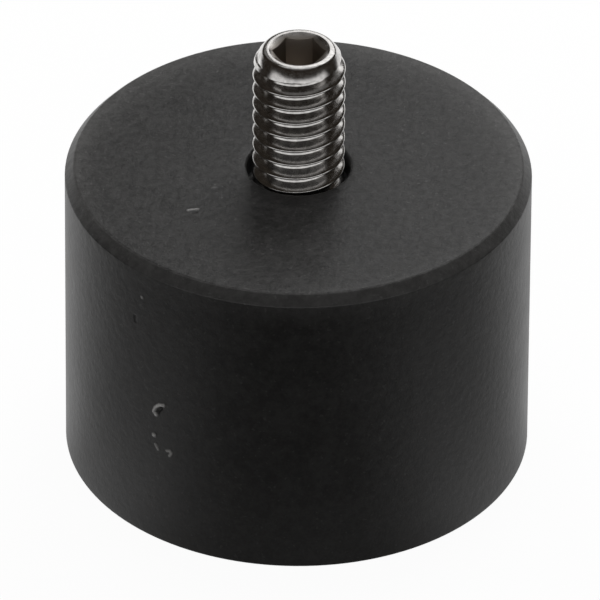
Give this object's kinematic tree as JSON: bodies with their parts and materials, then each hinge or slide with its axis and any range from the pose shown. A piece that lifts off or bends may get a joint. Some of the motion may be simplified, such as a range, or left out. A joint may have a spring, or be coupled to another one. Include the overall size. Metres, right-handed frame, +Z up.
{
  "type": "rubber foot",
  "caption": "Cylindrical black rubber foot with a bevelled top edge and a threaded hex-socket set screw standing in its centre as the fixing stud.",
  "frame": {"origin": "middle of the underside, on the surface that the foot stands on", "axes": "+Z up along the screw's axis; -Y is the side that the picture shows"},
  "size_m": [0.04, 0.04, 0.04],
  "materials": {
    "rubber": "matt moulded rubber",
    "steel": "bare machined steel"
  },
  "bodies": {
    "root": {"rubber_body": "rubber", "set_screw": "steel"}
  },
  "joints": []
}
